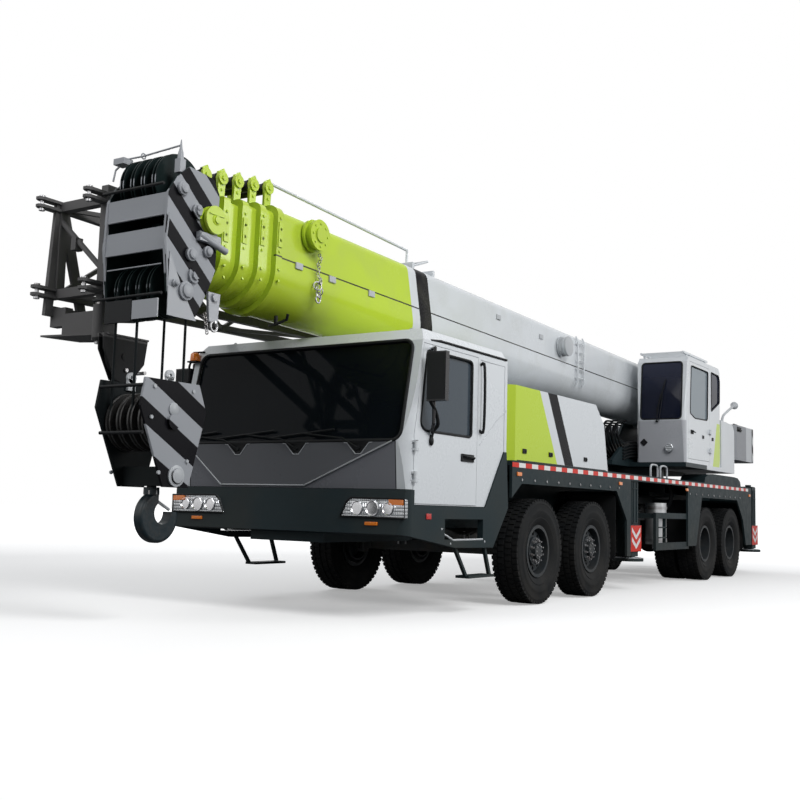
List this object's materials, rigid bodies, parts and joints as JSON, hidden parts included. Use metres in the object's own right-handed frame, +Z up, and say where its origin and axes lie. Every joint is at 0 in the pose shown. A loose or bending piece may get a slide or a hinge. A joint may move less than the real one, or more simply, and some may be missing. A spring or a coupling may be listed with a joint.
{
  "type": "four-axle mobile crane with telescopic boom",
  "caption": "Truck crane on road wheels: wide driver's cab, slewing upper with its own cab, stowed telescopic boom with hook block, folding jib and sliding outriggers.",
  "frame": {"origin": "on the ground under the middle of the crane's length and width", "axes": "+X to the crane's left, -Y forwards over the driver's cab, +Z up"},
  "size_m": [3.23, 13.96, 3.8626],
  "materials": {
    "slate_paint": "satin",
    "bright_tank": "brushed",
    "black_axle": "satin",
    "cab_white": "gloss",
    "tinted_glass": "tinted",
    "cab_trim": "grained",
    "hood_paint": "gloss",
    "engine_iron": "painted casting",
    "ballast_iron": "satin",
    "seat_cloth": "woven",
    "winch_steel": "greased",
    "boom_paint": "gloss",
    "head_paint": "satin",
    "chrome_rod": "polished",
    "jib_grey": "satin",
    "block_paint": "satin",
    "hook_steel": "forged, painted",
    "rim_paint": "satin",
    "tyre": "matt rubber",
    "jack_steel": "satin"
  },
  "bodies": {
    "root": {"chassis_frame": "slate_paint", "side_skirts": "slate_paint", "front_bumper": "slate_paint", "side_tanks": "bright_tank", "axle_beams": "black_axle", "cab_shell": "cab_white", "cab_glass": "tinted_glass", "cab_interior": "cab_trim", "engine_housing": "hood_paint", "engine_block": "engine_iron"},
    "cab_door_left": {"cab_door_left": "cab_white", "door_glass_left": "tinted_glass"},
    "cab_door_right": {"cab_door_right": "cab_white", "door_glass_right": "tinted_glass"},
    "knuckle_1_left": {"knuckle_1_left": "black_axle"},
    "knuckle_1_right": {"knuckle_1_right": "black_axle"},
    "knuckle_2_left": {"knuckle_2_left": "black_axle"},
    "knuckle_2_right": {"knuckle_2_right": "black_axle"},
    "wheel_1_left": {"rim_1_left": "rim_paint", "tyre_1_left": "tyre"},
    "wheel_1_right": {"rim_1_right": "rim_paint", "tyre_1_right": "tyre"},
    "wheel_2_left": {"rim_2_left": "rim_paint", "tyre_2_left": "tyre"},
    "wheel_2_right": {"rim_2_right": "rim_paint", "tyre_2_right": "tyre"},
    "wheel_3_left": {"rim_3_left": "rim_paint", "tyre_3_left": "tyre"},
    "wheel_3_right": {"rim_3_right": "rim_paint", "tyre_3_right": "tyre"},
    "wheel_4_left": {"rim_4_left": "rim_paint", "tyre_4_left": "tyre"},
    "wheel_4_right": {"rim_4_right": "rim_paint", "tyre_4_right": "tyre"},
    "outrigger_beam_front_left": {"outrigger_beam_front_left": "slate_paint"},
    "outrigger_jack_front_left": {"outrigger_jack_front_left": "jack_steel"},
    "outrigger_beam_front_right": {"outrigger_beam_front_right": "slate_paint"},
    "outrigger_jack_front_right": {"outrigger_jack_front_right": "jack_steel"},
    "outrigger_beam_rear_left": {"outrigger_beam_rear_left": "slate_paint"},
    "outrigger_jack_rear_left": {"outrigger_jack_rear_left": "jack_steel"},
    "outrigger_beam_rear_right": {"outrigger_beam_rear_right": "slate_paint"},
    "outrigger_jack_rear_right": {"outrigger_jack_rear_right": "jack_steel"},
    "superstructure": {"slew_platform": "slate_paint", "counterweight": "ballast_iron", "operator_cab": "cab_white", "operator_glass": "tinted_glass", "operator_seat": "seat_cloth"},
    "operator_door": {"operator_door": "cab_white", "operator_door_glass": "tinted_glass"},
    "winch": {"winch_drum": "winch_steel"},
    "boom_base": {"boom_base": "boom_paint", "stowed_jib": "jib_grey"},
    "boom_section_2": {"boom_section_2": "boom_paint"},
    "boom_section_3": {"boom_section_3": "boom_paint"},
    "boom_section_4": {"boom_section_4": "boom_paint"},
    "boom_section_5": {"boom_section_5": "head_paint"},
    "lift_barrel": {"lift_barrel": "slate_paint"},
    "lift_rod": {"lift_rod": "chrome_rod"},
    "hook_block": {"hook_block": "block_paint"},
    "hook": {"hook": "hook_steel"}
  },
  "joints": [
    {"name": "cab_door_left_hinge", "type": "hinge", "parent": "root", "child": "cab_door_left", "pos_m": [1.38, -4.862, 1.4], "axis": [0, 0, -1], "range_deg": [0, 70]},
    {"name": "cab_door_right_hinge", "type": "hinge", "parent": "root", "child": "cab_door_right", "pos_m": [-1.38, -4.862, 1.4], "axis": [0, 0, 1], "range_deg": [0, 70]},
    {"name": "steer_1_left", "type": "hinge", "parent": "root", "child": "knuckle_1_left", "pos_m": [0.95, -2.25, 0.56], "axis": [0, 0, 1], "range_deg": [-35, 35]},
    {"name": "steer_1_right", "type": "hinge", "parent": "root", "child": "knuckle_1_right", "pos_m": [-0.95, -2.25, 0.56], "axis": [0, 0, 1], "range_deg": [-35, 35]},
    {"name": "steer_2_left", "type": "hinge", "parent": "root", "child": "knuckle_2_left", "pos_m": [0.95, -0.8, 0.56], "axis": [0, 0, 1], "range_deg": [-24.5, 24.5]},
    {"name": "steer_2_right", "type": "hinge", "parent": "root", "child": "knuckle_2_right", "pos_m": [-0.95, -0.8, 0.56], "axis": [0, 0, 1], "range_deg": [-24.5, 24.5]},
    {"name": "wheel_1_left_spin", "type": "hinge", "parent": "knuckle_1_left", "child": "wheel_1_left", "pos_m": [1.185, -2.25, 0.56], "axis": [1, 0, 0], "continuous": true},
    {"name": "wheel_1_right_spin", "type": "hinge", "parent": "knuckle_1_right", "child": "wheel_1_right", "pos_m": [-1.185, -2.25, 0.56], "axis": [1, 0, 0], "continuous": true},
    {"name": "wheel_2_left_spin", "type": "hinge", "parent": "knuckle_2_left", "child": "wheel_2_left", "pos_m": [1.185, -0.8, 0.56], "axis": [1, 0, 0], "continuous": true},
    {"name": "wheel_2_right_spin", "type": "hinge", "parent": "knuckle_2_right", "child": "wheel_2_right", "pos_m": [-1.185, -0.8, 0.56], "axis": [1, 0, 0], "continuous": true},
    {"name": "wheel_3_left_spin", "type": "hinge", "parent": "root", "child": "wheel_3_left", "pos_m": [1.185, 3.7, 0.56], "axis": [1, 0, 0], "continuous": true},
    {"name": "wheel_3_right_spin", "type": "hinge", "parent": "root", "child": "wheel_3_right", "pos_m": [-1.185, 3.7, 0.56], "axis": [1, 0, 0], "continuous": true},
    {"name": "wheel_4_left_spin", "type": "hinge", "parent": "root", "child": "wheel_4_left", "pos_m": [1.185, 5.05, 0.56], "axis": [1, 0, 0], "continuous": true},
    {"name": "wheel_4_right_spin", "type": "hinge", "parent": "root", "child": "wheel_4_right", "pos_m": [-1.185, 5.05, 0.56], "axis": [1, 0, 0], "continuous": true},
    {"name": "outrigger_beam_front_left_slide", "type": "slide", "parent": "root", "child": "outrigger_beam_front_left", "axis": [1, 0, 0], "range_m": [0, 1.9]},
    {"name": "outrigger_jack_front_left_slide", "type": "slide", "parent": "outrigger_beam_front_left", "child": "outrigger_jack_front_left", "axis": [0, 0, -1], "range_m": [0, 0.55]},
    {"name": "outrigger_beam_front_right_slide", "type": "slide", "parent": "root", "child": "outrigger_beam_front_right", "axis": [-1, 0, 0], "range_m": [0, 1.9]},
    {"name": "outrigger_jack_front_right_slide", "type": "slide", "parent": "outrigger_beam_front_right", "child": "outrigger_jack_front_right", "axis": [0, 0, -1], "range_m": [0, 0.55]},
    {"name": "outrigger_beam_rear_left_slide", "type": "slide", "parent": "root", "child": "outrigger_beam_rear_left", "axis": [1, 0, 0], "range_m": [0, 1.9]},
    {"name": "outrigger_jack_rear_left_slide", "type": "slide", "parent": "outrigger_beam_rear_left", "child": "outrigger_jack_rear_left", "axis": [0, 0, -1], "range_m": [0, 0.55]},
    {"name": "outrigger_beam_rear_right_slide", "type": "slide", "parent": "root", "child": "outrigger_beam_rear_right", "axis": [-1, 0, 0], "range_m": [0, 1.9]},
    {"name": "outrigger_jack_rear_right_slide", "type": "slide", "parent": "outrigger_beam_rear_right", "child": "outrigger_jack_rear_right", "axis": [0, 0, -1], "range_m": [0, 0.55]},
    {"name": "slew", "type": "hinge", "parent": "root", "child": "superstructure", "pos_m": [0, 3.7, 1.56], "axis": [0, 0, 1], "continuous": true},
    {"name": "operator_door_hinge", "type": "hinge", "parent": "superstructure", "child": "operator_door", "pos_m": [1.32, 4.002, 2.5], "axis": [0, 0, 1], "range_deg": [0, 75]},
    {"name": "winch_spin", "type": "hinge", "parent": "superstructure", "child": "winch", "pos_m": [0, 6.27, 2.76], "axis": [1, 0, 0], "continuous": true},
    {"name": "boom_luff", "type": "hinge", "parent": "superstructure", "child": "boom_base", "pos_m": [0, 5.2, 2.62], "axis": [-1, 0, 0], "range_deg": [0, 78]},
    {"name": "telescope_2", "type": "slide", "parent": "boom_base", "child": "boom_section_2", "axis": [0, -0.9998, 0.0209], "range_m": [0, 7.7]},
    {"name": "telescope_3", "type": "slide", "parent": "boom_section_2", "child": "boom_section_3", "axis": [0, -0.9998, 0.0209], "range_m": [0, 7.7]},
    {"name": "telescope_4", "type": "slide", "parent": "boom_section_3", "child": "boom_section_4", "axis": [0, -0.9998, 0.0209], "range_m": [0, 7.7]},
    {"name": "telescope_5", "type": "slide", "parent": "boom_section_4", "child": "boom_section_5", "axis": [0, -0.9998, 0.0209], "range_m": [0, 7.7]},
    {"name": "lift_barrel_swing", "type": "hinge", "parent": "superstructure", "child": "lift_barrel", "pos_m": [0, 4.05, 1.96], "axis": [-1, 0, 0], "range_deg": [0, 82.47]},
    {"name": "lift_rod_slide", "type": "slide", "parent": "lift_barrel", "child": "lift_rod", "axis": [0, -0.9917, 0.1285], "range_m": [0, 1.6381]},
    {"name": "hook_block_hang", "type": "hinge", "parent": "boom_section_5", "child": "hook_block", "pos_m": [0, -6.67, 2.64], "axis": [-1, 0, 0], "range_deg": [-78, 0]},
    {"name": "hook_swivel", "type": "hinge", "parent": "hook_block", "child": "hook", "pos_m": [-0.015, -6.58, 0.9], "axis": [0, 0, 1], "continuous": true}
  ],
  "couplings": [
    {"joint": "steer_1_right", "follows": "steer_1_left", "ratio": 1},
    {"joint": "steer_2_left", "follows": "steer_1_left", "ratio": 0.7},
    {"joint": "steer_2_right", "follows": "steer_1_left", "ratio": 0.7},
    {"joint": "telescope_3", "follows": "telescope_2", "ratio": 1},
    {"joint": "telescope_4", "follows": "telescope_2", "ratio": 1},
    {"joint": "telescope_5", "follows": "telescope_2", "ratio": 1},
    {"joint": "lift_barrel_swing", "follows": "boom_luff", "ratio": 1.056},
    {"joint": "lift_rod_slide", "follows": "boom_luff", "m_per_rad": 1.2018},
    {"joint": "hook_block_hang", "follows": "boom_luff", "ratio": -0.85}
  ]
}
